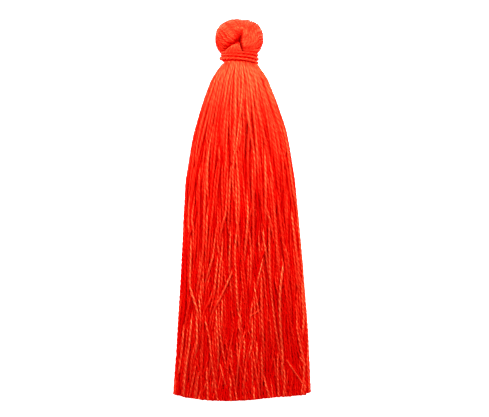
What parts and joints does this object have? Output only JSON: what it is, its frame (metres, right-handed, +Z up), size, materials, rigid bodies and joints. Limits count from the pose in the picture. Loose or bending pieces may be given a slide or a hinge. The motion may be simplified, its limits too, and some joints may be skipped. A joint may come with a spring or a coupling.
{
  "type": "silk tassel",
  "caption": "Red silk tassel lying on its back: a folded round head with a slit eye, a neck bound with twisted cord and a long straight skirt of fine threads cut to one length",
  "frame": {"origin": "middle of the tassel's footprint, on the surface it lies on", "axes": "+Y runs along the tassel from the cut ends to the head, +X across the skirt, +Z up off the surface"},
  "size_m": [0.0291, 0.0798, 0.009],
  "materials": {
    "silk_thread": "bright red two-ply silk thread with a soft sheen",
    "silk_binding": "the same red silk, twisted tighter and wound round the neck"
  },
  "bodies": {
    "root": {"thread_hank": "silk_thread", "neck_wrap": "silk_binding"}
  },
  "joints": []
}
